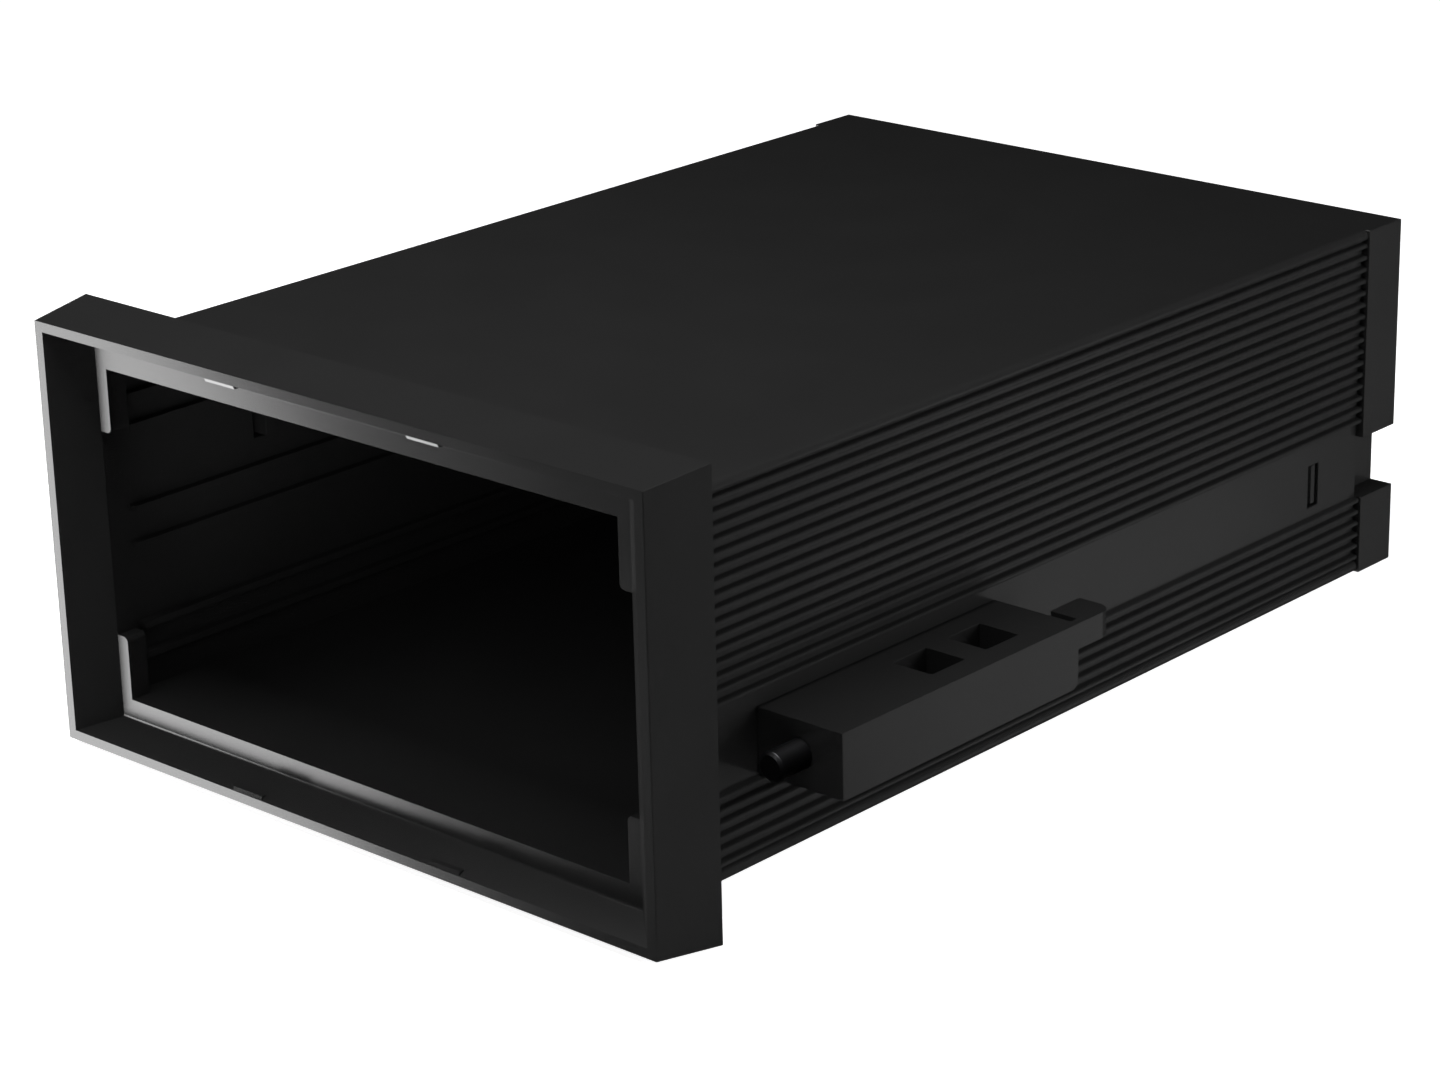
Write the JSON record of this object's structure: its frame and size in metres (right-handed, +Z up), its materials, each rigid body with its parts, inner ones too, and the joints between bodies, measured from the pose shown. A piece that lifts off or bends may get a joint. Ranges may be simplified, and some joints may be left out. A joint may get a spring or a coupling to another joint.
{
  "type": "panel mount enclosure",
  "caption": "Deep black plastic panel mount enclosure with a sloped front frame, ribbed sides, a clip-on rear cover and side clamps with screws that press on the panel.",
  "frame": {"origin": "centre of the panel cut-out, in the plane of the front frame's rear face", "axes": "+X to the right seen from the front, +Y from the front to the rear, +Z up"},
  "size_m": [0.1646, 0.2072, 0.0786],
  "materials": {
    "black_plastic": "satin black moulded plastic with a fine grain",
    "black_steel": "steel with a black oxide finish"
  },
  "bodies": {
    "case": {"housing": "black_plastic", "rear_cover": "black_plastic", "right_clamp": "black_plastic", "left_clamp": "black_plastic"},
    "right_screw": {"right_clamp_screw": "black_steel"},
    "left_screw": {"left_clamp_screw": "black_steel"}
  },
  "joints": [
    {"name": "right_screw_travel", "type": "slide", "parent": "case", "child": "right_screw", "axis": [0, -1, 0], "range_m": [-0.005, 0.0087]},
    {"name": "left_screw_travel", "type": "slide", "parent": "case", "child": "left_screw", "axis": [0, -1, 0], "range_m": [-0.005, 0.0087]}
  ]
}
